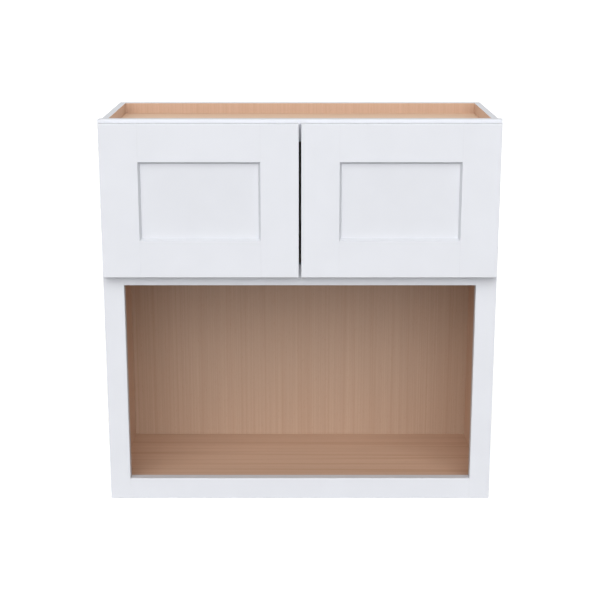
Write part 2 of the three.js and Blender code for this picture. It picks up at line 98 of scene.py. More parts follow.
NODE_WIDTH, NODE_HEIGHT, NODES_IN_A_ROW = 220, 260, 12  # the grid that a tree's nodes are laid out on


def linear(hex_colour):
    """The linear red, green and blue of an sRGB hex colour."""
    channels = [int(hex_colour[i : i + 2], 16) / 255 for i in (1, 3, 5)]
    return tuple(c / 12.92 if c <= 0.04045 else ((c + 0.055) / 1.055) ** 2.4 for c in channels)


def opaque(colour, share=1.0):
    """A colour of three numbers, dimmed to a share of itself, with a full alpha."""
    return (*(c * share for c in colour[:3]), 1.0)


def fill(tree, socket, value):
    """Sets an input to a plain value, or links it to an output or to the first open output of a node."""
    if isinstance(value, bpy.types.Node):
        value = next(output for output in value.outputs if output.enabled)
    if isinstance(value, bpy.types.NodeSocket):
        tree.links.new(value, socket)
    else:
        socket.default_value = value


def add_node(tree, kind, inputs=(), **settings):
    """Adds a node with its settings, and fills its open inputs by name or in their order.

    All values of a list go to one input, such as that of a node that joins geometry.
    """
    node = tree.nodes.new(kind)
    row, column = divmod(len(tree.nodes), NODES_IN_A_ROW)
    node.location = (NODE_WIDTH * column, -NODE_HEIGHT * row)
    for name, value in settings.items():
        setattr(node, name, value)
    sockets = [socket for socket in node.inputs if socket.enabled]
    values = inputs if isinstance(inputs, dict) else dict(enumerate(inputs))
    for key, value in values.items():
        socket = sockets[key] if isinstance(key, int) else next(s for s in sockets if s.name == key)
        for part in value if isinstance(value, list) else [value]:
            fill(tree, socket, part)
    return node


def new_material(name):
    """A material without nodes, and the tree to build it in."""
    material = bpy.data.materials.new(name)
    material.use_nodes = True
    material.node_tree.nodes.clear()
    return material, material.node_tree


def finished(material, **looks):
    """The material, ended in one Principled shader, whose inputs are named with _ for each space."""
    sockets = {name.replace("_", " "): value for name, value in looks.items()}
    shader = add_node(material.node_tree, "ShaderNodeBsdfPrincipled", sockets)
    add_node(material.node_tree, "ShaderNodeOutputMaterial", {"Surface": shader})
    return material


def wear(material, *names):
    """Gives CAD nodes a material."""
    for name in names:
        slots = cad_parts[name].data.materials
        slots.clear()
        slots.append(material)


# ------------ patterns

QUIET_FIGURE = 1.0  # strength of the growth rings on the sides and on the back's front face
LIVELY_FIGURE = 4.0  # their strength on all other veneer


def mottle(tree, size, detail=2.0, seed=0.0):
    """A soft random pattern on Object coordinates. Its spots are as large as size, one length or three."""
    sizes = size if isinstance(size, tuple) else (size,) * 3
    place = {
        "Vector": add_node(tree, "ShaderNodeTexCoord").outputs["Object"],
        "Location": (seed, seed * 0.7, seed * 1.3),
        "Scale": tuple(1 / s for s in sizes),
    }
    scaled = add_node(tree, "ShaderNodeMapping", place)
    return add_node(tree, "ShaderNodeTexNoise", {"Vector": scaled, "Scale": 1.0, "Detail": detail})


def varied(tree, pattern, low, high):
    """A number from low to high that follows a mottle, most of which lies between 0.3 and 0.7."""
    return add_node(tree, "ShaderNodeMapRange", (pattern, 0.3, 0.7, low, high))


def tinted(tree, colour, tint, pattern, low, high, at_low=0.0, at_high=1.0):
    """A colour with a share of a tint, which goes from at_low to at_high where a pattern goes low..high."""
    share = add_node(tree, "ShaderNodeMapRange", (pattern, low, high, at_low, at_high))
    return add_node(tree, "ShaderNodeMix", (share, colour, tint), data_type="RGBA")


def faces_and_place(tree):
    """The object-space normal and place of a surface point, each as X, Y and Z."""
    coordinates = add_node(tree, "ShaderNodeTexCoord").outputs
    sources = (coordinates["Normal"], coordinates["Object"])
    return [add_node(tree, "ShaderNodeSeparateXYZ", (source,)).outputs for source in sources]


def facing(tree, component):
    """1 on faces that look along an axis, told by that component of their normal, and 0 on others."""
    return add_node(tree, "ShaderNodeMath", (component, 0.5), operation="GREATER_THAN")


def orange_peel(tree, finishes):
    """The height of a sprayed coat, which settles in soft dimples a few millimetres across."""
    coarse = mottle(tree, finishes.peel_size, detail=1.0, seed=3.0)
    fine = mottle(tree, finishes.peel_size * 0.3, detail=1.0, seed=8.0)
    return add_node(tree, "ShaderNodeMix", (0.25, coarse, fine))


def paint_colour(tree, finishes, face, share=1.0):
    """The paint's colour on a board sprayed from the face axis: a touch uneven, and darker on its edges,
    which is partly a thinner coat and partly painted shade.
    """
    full, thin = opaque(finishes.paint, share), opaque(finishes.paint, share * 0.985)
    coat = tinted(tree, thin, full, mottle(tree, 90 * MM, seed=1.0), 0.4, 0.6)
    normal, _ = faces_and_place(tree)
    # Spray meets the face squarely and the edges at a slant, so the edges keep a thinner coat. Their
    # darkening is also painted shade, for the shade that gathers along edges and creases.
    squareness = add_node(tree, "ShaderNodeMath", (normal[face],), operation="ABSOLUTE")
    thin_coat_and_painted_shade = opaque(finishes.paint, share * (1 - finishes.edge_coat_and_painted_shade))
    return tinted(tree, coat, thin_coat_and_painted_shade, squareness, 0.25, 1.0, 1.0, 0.0)


def maple(tree, finishes, along, place, figure):
    """Colour and height of maple veneer whose grain runs along X or Z. figure scales its growth rings."""

    def streaks(breadth, length, detail, seed):
        """A mottle drawn out along the grain. Its breadth and length are in widths of one streak."""
        size = tuple(finishes.streak_width * (length if axis == along else breadth) for axis in "XYZ")
        return mottle(tree, size, detail, seed)

    light, dark, brown = map(opaque, (finishes.maple, finishes.maple_late, finishes.maple_fleck))
    broad = streaks(24, 320, detail=1.0, seed=2.0)
    lines = streaks(1.1, 240, detail=2.0, seed=5.0)
    fibre = streaks(0.6, 34, detail=2.0, seed=11.0)
    fleck = streaks(0.35, 3.2, detail=1.0, seed=17.0)
    toned = tinted(tree, light, dark, broad, 0.3, 0.7, 0.35, 0.0)
    lined = tinted(tree, toned, dark, lines, 0.36, 0.64, 0.7, 0.0)
    fibred = tinted(tree, lined, dark, fibre, 0.35, 0.65, 0.0, 0.35)
    flecked = tinted(tree, fibred, brown, fleck, 0.66, 0.74, 0.0, 0.28)

    # Growth rings are the contour lines of a slow swell: thin, and nearly straight along the grain.
    swell = streaks(20, 2600, detail=2.0, seed=23.0)
    level = add_node(tree, "ShaderNodeMath", (swell, finishes.ring_count), operation="MULTIPLY")
    ring = add_node(tree, "ShaderNodeMath", (level, 1.0), operation="PINGPONG")
    thin = add_node(tree, "ShaderNodeMapRange", (ring, 0.0, 0.35, 0.1, 0.0))
    strength = add_node(tree, "ShaderNodeMath", (thin, figure), operation="MULTIPLY")
    ringed = add_node(tree, "ShaderNodeMix", (strength, flecked, brown), data_type="RGBA")

    # The veneer is spliced from leaves a hand wide, and each leaf is cut from a slightly other tone.
    across = place["Y"]
    if along == "Z":
        across = add_node(tree, "ShaderNodeMath", (place["X"], place["Y"]), operation="ADD")
    count = add_node(tree, "ShaderNodeMath", (across, finishes.leaf_width), operation="DIVIDE")
    leaf = add_node(tree, "ShaderNodeMath", (count,), operation="FLOOR")
    tone = add_node(tree, "ShaderNodeTexWhiteNoise", (leaf,), noise_dimensions="1D")
    return tinted(tree, ringed, dark, tone, 0.0, 1.0, 0.0, 0.1), fibre


def laminations(tree, finishes, place, axis, node, plies):
    """Colour of a plywood edge, whose layers lie across an axis of the node."""
    low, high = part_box(node)
    index = "XYZ".index(axis)
    through = (place[axis], low[index], high[index], 0.0, float(plies))
    depth = add_node(tree, "ShaderNodeMapRange", through)
    bend = add_node(tree, "ShaderNodeMath", (mottle(tree, 45 * MM, seed=4.0), 0.25), operation="MULTIPLY")
    bent = add_node(tree, "ShaderNodeMath", (depth, bend), operation="ADD")
    layer = add_node(tree, "ShaderNodeMath", (bent, 1.0), operation="PINGPONG")
    off_joint = add_node(tree, "ShaderNodeMath", (layer, 0.5), operation="SUBTRACT")
    from_joint = add_node(tree, "ShaderNodeMath", (off_joint,), operation="ABSOLUTE")
    along, across, brown = map(opaque, (finishes.ply_long, finishes.ply_end, finishes.maple_fleck))
    layered = tinted(tree, along, across, layer, 0.42, 0.58)
    pored = tinted(tree, layered, brown, mottle(tree, 0.5 * MM, seed=6.0), 0.45, 0.7, 0.0, 0.35)
    return tinted(tree, pored, brown, from_joint, 0.03, 0.1, 0.45, 0.0)


# ------------ materials

COAT_IOR = 1.5  # of varnish, clear coat and wood
BARE_PALENESS = 0.55  # how far veneer without a coat turns from its own colour to the plywood's
BARE_ROUGHNESS = (0.68, 0.8)  # of such veneer, in its hollows and where the grain stands up
EDGE_ROUGHNESS = 0.75  # of the laminations at the back of a side
PLYWOOD_RELIEF = 2  # times the relief of the panels' and the sides' veneer


def paint_gloss(tree, finishes, peel):
    """Roughness of the paint, which scatters light a little more where its coat stands up."""
    return varied(tree, peel, finishes.paint_roughness - 0.03, finishes.paint_roughness + 0.03)


def veneer_gloss(tree, finishes, height):
    """Roughness of the clear coat, which is duller where the grain stands up."""
    return varied(tree, height, finishes.veneer_roughness - 0.04, finishes.veneer_roughness + 0.05)


def bare_veneer(tree, finishes, veneer, height):
    """Colour and roughness of veneer without a coat: paler and nearly matt."""
    shades = (BARE_PALENESS, veneer, opaque(finishes.ply_long))
    pale = add_node(tree, "ShaderNodeMix", shades, data_type="RGBA")
    return pale, varied(tree, height, *BARE_ROUGHNESS)


def satin_white_paint(finishes, name, greying=0.0):
    """Conversion varnish, sprayed over wood or fibreboard: satin, with a faint orange peel. A greying above 0
    darkens it as painted shade.
    """
    material, tree = new_material(name)
    peel = orange_peel(tree, finishes)
    return finished(
        material,
        Base_Color=paint_colour(tree, finishes, "Y", 1 - greying),
        Roughness=paint_gloss(tree, finishes, peel),
        Normal=add_node(tree, "ShaderNodeBump", {"Height": peel, "Distance": finishes.peel_depth}),
        IOR=COAT_IOR,
    )


def clear_coated_maple(finishes, name, bare_and_painted_light_top=False):
    """Sliced maple veneer under a clear ultraviolet-cured coat: straight faint streaks, low sheen."""
    material, tree = new_material(name)
    normal, place = faces_and_place(tree)
    colour, height = maple(tree, finishes, "X", place, LIVELY_FIGURE)
    gloss = veneer_gloss(tree, finishes, height)
    # A bare top is paler: partly uncoated veneer, partly painted light for the brightly lit recess above the
    # top panel.
    if bare_and_painted_light_top:
        above = facing(tree, normal["Z"])
        bare, rough = bare_veneer(tree, finishes, colour, height)
        colour = add_node(tree, "ShaderNodeMix", (above, colour, bare), data_type="RGBA")
        gloss = add_node(tree, "ShaderNodeMix", (above, gloss, rough))
    relief = add_node(tree, "ShaderNodeBump", {"Height": height, "Distance": finishes.grain_depth})
    return finished(material, Base_Color=colour, Roughness=gloss, Normal=relief, IOR=COAT_IOR)


def side_board(finishes, node):
    """A finished side: painted outside and over its ends, maple inside, bare laminations at the back."""
    material, tree = new_material(f"{node}_paint_and_maple")
    normal, place = faces_and_place(tree)
    inward = -1.0 if middle(node).x > 0 else 1.0
    inner = add_node(tree, "ShaderNodeMath", (normal["X"], inward), operation="MULTIPLY")
    inside, behind = facing(tree, inner), facing(tree, normal["Y"])
    veneer, height = maple(tree, finishes, "Z", place, QUIET_FIGURE)
    peel = orange_peel(tree, finishes)

    colours = (inside, paint_colour(tree, finishes, "X"), veneer)
    faced = add_node(tree, "ShaderNodeMix", colours, data_type="RGBA")
    edge = laminations(tree, finishes, place, "X", node, finishes.side_plies)
    glosses = (inside, paint_gloss(tree, finishes, peel), veneer_gloss(tree, finishes, height))
    coated = add_node(tree, "ShaderNodeMix", glosses)
    sprayed = add_node(tree, "ShaderNodeBump", {"Height": peel, "Distance": finishes.peel_depth})
    grained = add_node(tree, "ShaderNodeBump", {"Height": height, "Distance": finishes.grain_depth})
    return finished(
        material,
        Base_Color=add_node(tree, "ShaderNodeMix", (behind, faced, edge), data_type="RGBA"),
        Roughness=add_node(tree, "ShaderNodeMix", (behind, coated, EDGE_ROUGHNESS)),
        Normal=add_node(tree, "ShaderNodeMix", (inside, sprayed, grained), data_type="VECTOR"),
        IOR=COAT_IOR,
    )


def plywood(finishes, node, along, plies, coated_front=False, painted_top=False):
    """Plywood with bare faces and laminated edges. Its front may be coated and its top edge painted."""
    material, tree = new_material(f"{node}_plywood")
    normal, place = faces_and_place(tree)
    upright = add_node(tree, "ShaderNodeMath", (normal["Z"],), operation="ABSOLUTE")
    behind, on_edge = facing(tree, normal["Y"]), facing(tree, upright)
    figure = LIVELY_FIGURE
    if coated_front:
        figure = add_node(tree, "ShaderNodeMix", (behind, QUIET_FIGURE, LIVELY_FIGURE))
    veneer, height = maple(tree, finishes, along, place, figure)
    if coated_front:
        # The coat deepens the veneer's tone, and none reaches the part above the top panel. This is also
        # painted shade: the back is darkened inside the cupboard and left paler in the open recess above the
        # top panel.
        limit = (place["Z"], middle("top_panel").z)
        below = add_node(tree, "ShaderNodeMath", limit, operation="LESS_THAN")
        cast = (below, veneer, opaque(finishes.back_cast_and_painted_shade))
        veneer = add_node(tree, "ShaderNodeMix", cast, data_type="RGBA", blend_type="MULTIPLY")
    face, rough = bare_veneer(tree, finishes, veneer, height)
    uncoated = 1.0
    if coated_front:
        face = add_node(tree, "ShaderNodeMix", (behind, veneer, face), data_type="RGBA")
        uncoated = add_node(tree, "ShaderNodeMath", (behind, on_edge), operation="MAXIMUM")
    edge = laminations(tree, finishes, place, "Y", node, plies)
    colour = add_node(tree, "ShaderNodeMix", (on_edge, face, edge), data_type="RGBA")
    if painted_top:
        top, painted = facing(tree, normal["Z"]), paint_colour(tree, finishes, "Y")
        colour = add_node(tree, "ShaderNodeMix", (top, colour, painted), data_type="RGBA")
        uncoated = add_node(tree, "ShaderNodeMath", (uncoated, top), operation="SUBTRACT")
    depth = finishes.grain_depth * PLYWOOD_RELIEF
    return finished(
        material,
        Base_Color=colour,
        Roughness=add_node(tree, "ShaderNodeMix", (uncoated, veneer_gloss(tree, finishes, height), rough)),
        Normal=add_node(tree, "ShaderNodeBump", {"Height": height, "Distance": depth}),
        IOR=COAT_IOR,
    )


def plated_steel(name, colour, roughness, grain):
    """Pressed and plated steel: a bright skin with fine die marks that soften its reflections."""
    material, tree = new_material(name)
    marks = mottle(tree, (grain * 6, grain, grain), detail=3.0, seed=9.0)
    dull, bright = opaque(colour, 0.96), opaque(colour)
    return finished(
        material,
        Base_Color=tinted(tree, dull, bright, marks, 0.35, 0.65),
        Roughness=varied(tree, marks, roughness - 0.03, roughness + 0.04),
        Normal=add_node(tree, "ShaderNodeBump", {"Height": marks, "Distance": 0.001 * MM}),
        Metallic=1.0,
    )


def clear_polyurethane(finishes):
    """Cast polyurethane: water-clear, glossy and a little soft at the surface."""
    material, tree = new_material("clear_cast_polyurethane")
    haze = mottle(tree, 1.5 * MM, detail=1.0, seed=12.0)
    cloudy, clear = opaque(finishes.bumper, 0.94), opaque(finishes.bumper)
    return finished(
        material,
        Base_Color=add_node(tree, "ShaderNodeMix", (haze, cloudy, clear), data_type="RGBA"),
        Roughness=varied(tree, haze, 0.08, 0.16),
        IOR=1.49,
        Transmission_Weight=0.8,
    )


# ------------ geometry helpers


def new_piece(name, mesh, body):
    """An object for a mesh whose place is in its points. It rides on a body."""
    piece = bpy.data.objects.new(name, mesh)
    bpy.context.scene.collection.objects.link(piece)
    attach(piece, body)
    return piece


def baked(name, base, add_modifiers):
    """The plain mesh that modifiers make from a base mesh. add_modifiers puts them on its carrier."""
    carrier = bpy.data.objects.new(name, base)
    bpy.context.scene.collection.objects.link(carrier)
    add_modifiers(carrier)
    graph = bpy.context.evaluated_depsgraph_get()
    made = bpy.data.meshes.new_from_object(carrier.evaluated_get(graph), depsgraph=graph)
    made.name = name
    bpy.data.objects.remove(carrier)
    return made


def new_mesh(name, places, edges=(), faces=(), **vectors):
    """A mesh of points, edges and faces, with a vector of each named kind for every point."""
    mesh = bpy.data.meshes.new(name)
    mesh.from_pydata([tuple(place) for place in places], edges, faces)
    for kind, values in vectors.items():
        attribute = mesh.attributes.new(kind, "FLOAT_VECTOR", "POINT")
        attribute.data.foreach_set("vector", [c for value in values for c in value])
    return mesh


def grow(name, base, tree, settings):
    """The mesh that a Geometry Nodes tree makes from a base mesh, with its named inputs set."""

    def add_tree(carrier):
        modifier = carrier.modifiers.new("Nodes", "NODES")
        modifier.node_group = tree
        for item in tree.interface.items_tree:
            if item.in_out == "INPUT" and item.name in settings:
                modifier[item.identifier] = settings[item.name]

    return baked(name, base, add_tree)


def softened_copy(node, name, radius):
    """A merged copy of a CAD node, with its sharp edges rounded and its round walls shaded smooth."""
    weld, flat, sharp = 0.001 * MM, math.radians(0.5), math.radians(35)
    shape = bmesh.new()
    shape.from_mesh(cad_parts[node].data)
    bmesh.ops.remove_doubles(shape, verts=shape.verts, dist=weld)
    bmesh.ops.dissolve_limit(shape, angle_limit=flat, verts=shape.verts, edges=shape.edges)
    for face in shape.faces:
        face.smooth = True
    mesh = bpy.data.meshes.new(name)
    shape.to_mesh(mesh)
    shape.free()

    def round_edges(carrier):
        bevel = carrier.modifiers.new("Edges", "BEVEL")
        bevel.width = radius
        bevel.segments = 2
        bevel.limit_method = "ANGLE"
        bevel.angle_limit = sharp
        # Flat faces keep their own normals, so only the rounded edges and the round walls shade softly.
        weighted = carrier.modifiers.new("Flat faces", "WEIGHTED_NORMAL")
        weighted.weight = 100
        weighted.keep_sharp = True

    return baked(name, mesh, round_edges)


def new_tree(name, *sizes, **others):
    """A Geometry Nodes tree with a geometry going in and out, and named inputs: sizes, and other kinds."""
    tree = bpy.data.node_groups.new(name, "GeometryNodeTree")
    inputs = {"Geometry": "Geometry", **dict.fromkeys(sizes, "Float"), **others}
    for label, kind in inputs.items():
        tree.interface.new_socket(label, in_out="INPUT", socket_type=f"NodeSocket{kind}")
    tree.interface.new_socket("Geometry", in_out="OUTPUT", socket_type="NodeSocketGeometry")
    return tree, add_node(tree, "NodeGroupInput").outputs


def end_tree(tree, instances, finish, sharp_angle):
    """Realizes what a tree has made, rounds its shading up to an angle, and gives it its material."""
    real = add_node(tree, "GeometryNodeRealizeInstances", {"Geometry": instances})
    smooth = add_node(tree, "GeometryNodeSetShadeSmooth", {"Geometry": real}, domain="FACE")
    angle = add_node(tree, "GeometryNodeInputMeshEdgeAngle").outputs["Unsigned Angle"]
    sharp = add_node(tree, "FunctionNodeCompare", (angle, sharp_angle), operation="GREATER_THAN")
    edges = {"Geometry": smooth, "Selection": sharp, "Shade Smooth": False}
    edged = add_node(tree, "GeometryNodeSetShadeSmooth", edges, domain="EDGE")
    done = add_node(tree, "GeometryNodeSetMaterial", {"Geometry": edged, "Material": finish})
    add_node(tree, "NodeGroupOutput", {"Geometry": done})


def own_place(tree):
    """The X, Y and Z of the point that a Geometry Nodes tree works on."""
    place = add_node(tree, "GeometryNodeInputPosition")
    return add_node(tree, "ShaderNodeSeparateXYZ", (place,)).outputs


def half_ball(tree, radius, height, fullness, segments, rings):
    """A ball, the X and Y of its points, and their rise once the lower half is pressed flat.

    The upper half is drawn to a height. A fullness under 1 gives it a straighter wall and a flatter crown.
    """
    sphere = {"Segments": segments, "Rings": rings, "Radius": radius}
    ball = add_node(tree, "GeometryNodeMeshUVSphere", sphere)
    place = own_place(tree)
    upper = add_node(tree, "ShaderNodeMath", (place["Z"], 0.0), operation="MAXIMUM")
    share = add_node(tree, "ShaderNodeMath", (upper, radius), operation="DIVIDE")
    drawn = add_node(tree, "ShaderNodeMath", (share, fullness), operation="POWER")
    rise = add_node(tree, "ShaderNodeMath", (drawn, height), operation="MULTIPLY")
    return ball, place["X"], place["Y"], rise


# ------------ settings


def colour_setting(name, description, hex_colour):
    """A colour, given in sRGB hex and kept linear."""
    options = {"subtype": "COLOR", "min": 0.0, "max": 1.0, "default": linear(hex_colour)}
    return FloatVectorProperty(name=name, description=description, **options)


def share_setting(name, description, default):
    """A number from 0 to 1."""
    options = {"subtype": "FACTOR", "min": 0.0, "max": 1.0, "default": default}
    return FloatProperty(name=name, description=description, **options)


def length_setting(name, description, millimetres):
    """A length, given in millimetres and kept in metres."""
    options = {"unit": "LENGTH", "precision": 6, "default": millimetres * MM}
    return FloatProperty(name=name, description=description, **options)


def angle_setting(name, description, degrees):
    """An angle, given in degrees and kept in radians."""
    return FloatProperty(name=name, description=description, subtype="ANGLE", default=math.radians(degrees))


def amount_setting(name, description, default):
    """A number that isn't negative."""
    return FloatProperty(name=name, description=description, min=0.0, default=default)


def count_setting(name, description, default):
    """A whole number."""
    return IntProperty(name=name, description=description, default=default)


class CabinetFinishes(bpy.types.PropertyGroup):
    """Colours and surface sizes of the cabinet's finishes."""

    paint: colour_setting("Paint", "White of the face frame, the doors and the sides", "#EDEFF5")
    # Darkens every edge of the paint: partly a thinner coat, partly painted shade along edges and creases.
    edge_coat_and_painted_shade: share_setting("Edge greying", "How much darker the thin coat on a board's edges is", 0.27)
    # Painted shade: darkens the paint of the recessed door panels, as if shaded in their recess.
    panel_painted_shade: share_setting(
        "Panel greying", "How much darker the paint dries on the fibreboard of the door panels", 0.035
    )
    paint_roughness: share_setting("Paint roughness", "Roughness of the satin paint", 0.42)
    peel_size: length_setting("Orange peel size", "Width of one dimple in the sprayed coat", 2.4)
    peel_depth: length_setting("Orange peel depth", "Relief of the sprayed coat", 0.012)
    maple: colour_setting("Maple", "Pale early wood of the maple veneer", "#D0AF98")
    maple_late: colour_setting("Maple late wood", "Darker streaks of the maple veneer", "#C2A189")
    maple_fleck: colour_setting(
        "Maple fleck", "Short brown flecks of the veneer, and the glue lines of the plywood", "#A97B58"
    )
    # Partly the clear coat's tone, partly painted shade: it darkens the back's front inside the cupboard
    # only.
    back_cast_and_painted_shade: colour_setting("Back cast", "Tint that the clear coat gives the back panel's front", "#EEF2F4")
    veneer_roughness: share_setting("Veneer roughness", "Roughness of the clear coat on the veneer", 0.4)
    streak_width: length_setting(
        "Streak width", "Width of one streak of the grain; finer ones would not show in the render", 2.5
    )
    grain_depth: length_setting("Grain depth", "Relief of the grain under its coat", 0.02)
    ring_count: amount_setting(
        "Growth rings", "Growth rings that cross one slow swell of the veneer's figure", 16.0
    )
    leaf_width: length_setting("Leaf width", "Width of one leaf of the spliced veneer", 178)
    ply_long: colour_setting(
        "Plywood long grain", "Bare veneer, and the layers of an edge cut along their grain", "#EBCDB0"
    )
    ply_end: colour_setting("Plywood end grain", "Layers of an edge cut across their grain", "#B98F66")
    side_plies: count_setting("Side plies", "Layers in the 12.7 mm plywood of the sides", 9)
    back_plies: count_setting("Back plies", "Layers in the 6 mm plywood of the back", 5)
    rail_plies: count_setting("Rail plies", "Layers in the 16 mm plywood of the hanging rails", 11)
    nickel: colour_setting("Nickel", "Nickel plating of the hinges", "#C8C4BB")
    zinc: colour_setting("Zinc", "Bright zinc plating of the screws, pins and staples", "#CDD1D4")
    bumper: colour_setting("Bumper", "Clear polyurethane of the door bumpers", "#F2F4F3")


class CabinetHardware(bpy.types.PropertyGroup):
    """Sizes of the small hardware."""

    head_height: length_setting("Screw head height", "Height of a screw's domed head over its seat", 0.85)
    shank_radius: length_setting("Screw shank radius", "Radius of a screw under its head", 1.6)
    recess_width: length_setting("Cross recess width", "Width of the cross that the driver enters", 3.4)
    recess_depth: length_setting("Cross recess depth", "Depth of the cross below the top of the head", 0.6)
    hinge_edge: length_setting("Hinge edge radius", "Radius that pressing leaves on the hinge's edges", 0.22)
    staple_crown: length_setting("Staple crown", "Width of a staple", 11)
    staple_wire: length_setting("Staple wire", "Thickness of a staple's wire", 1.3)
    staple_pitch: length_setting("Staple pitch", "Distance from one staple to the next", 104)
    staple_seed: count_setting("Staple seed", "Seed of the staples' small misalignments", 7)


class CabinetStudio(bpy.types.PropertyGroup):
    """Camera and light of the studio."""

    camera_height: length_setting("Camera height", "Height of the camera over the cabinet's bottom", 1073.7)
    camera_distance: length_setting(
        "Camera distance", "Distance of the camera in front of the cabinet's middle", 2777.475
    )
    camera_pitch: angle_setting("Camera pitch", "Angle that the camera looks down by", 15.188)
    lens: FloatProperty(
        name="Lens", description="Focal length in millimetres", subtype="DISTANCE_CAMERA", default=83.91
    )
    shift: share_setting("Rise", "Upward shift of the lens, as a share of the frame", 0.045)
    sky: amount_setting("Room light", "Even light from all round", 0.15)
    front: amount_setting("Front light", "Strength of the widest light, low behind the camera", 3.0)
    front_elevation: angle_setting(
        "Front light elevation", "Height of the front light's middle over the horizon", 12
    )
    front_spread: angle_setting(
        "Front light spread", "Angle that its disc fills; a wider one gives softer shadows", 110
    )
    upper: amount_setting("Upper light", "Strength of the light high over the camera", 0.8)
    upper_elevation: angle_setting(
        "Upper light elevation", "Height of the upper light's middle over the horizon", 48
    )
    azimuth: angle_setting("Azimuth", "Turn of the front and upper lights to the camera's right", -5)
    rear: amount_setting(
        "Rear lights", "Strength of each of the two lights that fill the cabinet's back and sides", 1.2
    )
    rear_elevation: angle_setting(
        "Rear light elevation", "Height of the rear lights' middles over the horizon", 12
    )
    rear_azimuth: angle_setting(
        "Rear light azimuth", "Turn of the rear lights to either side of the camera", 128
    )
    spread: angle_setting("Spread", "Angle that the disc of each light but the front one fills", 60)
    floor_glow: amount_setting(
        "Floor glow", "Light that lifts the pale floor to white where nothing shades it", 0.5
    )
    floor_bounce: share_setting(
        "Floor bounce", "Share of the light on the floor that it sends back up to the cabinet", 0.25
    )


# ------------ finishes of the boards


class CABINET_OT_face_frame(bpy.types.Operator):
    """Paint the stiles and rails of the face frame"""

    bl_idname = "cabinet.face_frame"
    bl_label = "Paint the Face Frame"

    def execute(self, context):
        wear(satin_white_paint(context.scene.cabinet_finishes, "satin_white_varnish_on_frame"), *FACE_FRAME)
        return {"FINISHED"}


class CABINET_OT_carcase(bpy.types.Operator):
    """Veneer the panels, paint the sides and leave the back's rear face and the hanging rails bare"""

    bl_idname = "cabinet.carcase"
    bl_label = "Finish the Carcase"

    def execute(self, context):
        finishes = context.scene.cabinet_finishes
        wear(clear_coated_maple(finishes, "clear_coated_maple"), *INNER_PANELS)
        # The top panel's upper face is paler: partly bare veneer, partly painted light in the open recess.
        wear(clear_coated_maple(finishes, "maple_with_a_bare_top_and_painted_light", bare_and_painted_light_top=True), "top_panel")
        for node in SIDE_PANELS:
            wear(side_board(finishes, node), node)
        coats = {"coated_front": True, "painted_top": True}
        wear(plywood(finishes, "back_panel", "Z", finishes.back_plies, **coats), "back_panel")
        for node in HANGING_RAILS:
            shows = node.startswith("upper")
            wear(plywood(finishes, node, "X", finishes.rail_plies, painted_top=shows), node)
        return {"FINISHED"}


class CABINET_OT_doors(bpy.types.Operator):
    """Paint the stiles, rails and panels of both doors"""

    bl_idname = "cabinet.doors"
    bl_label = "Paint the Doors"

    def execute(self, context):
        finishes = context.scene.cabinet_finishes
        on_wood = satin_white_paint(finishes, "satin_white_varnish_on_door")
        # The door panels get a darker copy of the paint: painted shade for their recess.
        on_panel = satin_white_paint(finishes, "satin_white_varnish_on_panel_with_painted_shade", finishes.panel_painted_shade)
        for side in SIDES:
            wear(on_wood, *(f"{side}_door_{board}" for board in DOOR_BOARDS))
            wear(on_panel, f"{side}_door_panel")
        return {"FINISHED"}


# ------------ hardware


class CABINET_OT_hinges(bpy.types.Operator):
    """Round the pressed edges of the hinges and plate them with nickel"""

    bl_idname = "cabinet.hinges"
    bl_label = "Finish the Hinges"

    def execute(self, context):
        finishes = context.scene.cabinet_finishes
        nickel = plated_steel("nickel_plated_pressed_steel", finishes.nickel, roughness=0.27, grain=0.5 * MM)
        zinc = plated_steel("zinc_plated_hinge_pin", finishes.zinc, roughness=0.3, grain=0.5 * MM)
        for side, hinge in HINGES:
            for part, body in (("cup", f"{side}_door"), ("arm", "root"), ("plate", "root")):
                node = f"{hinge}_{part}"
                mesh = softened_copy(node, f"{node}_pressing", context.scene.cabinet_hardware.hinge_edge)
                mesh.materials.append(nickel)
                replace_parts(new_piece(f"{node}_pressing", mesh, body), node)
            wear(zinc, f"{hinge}_pin")
        return {"FINISHED"}


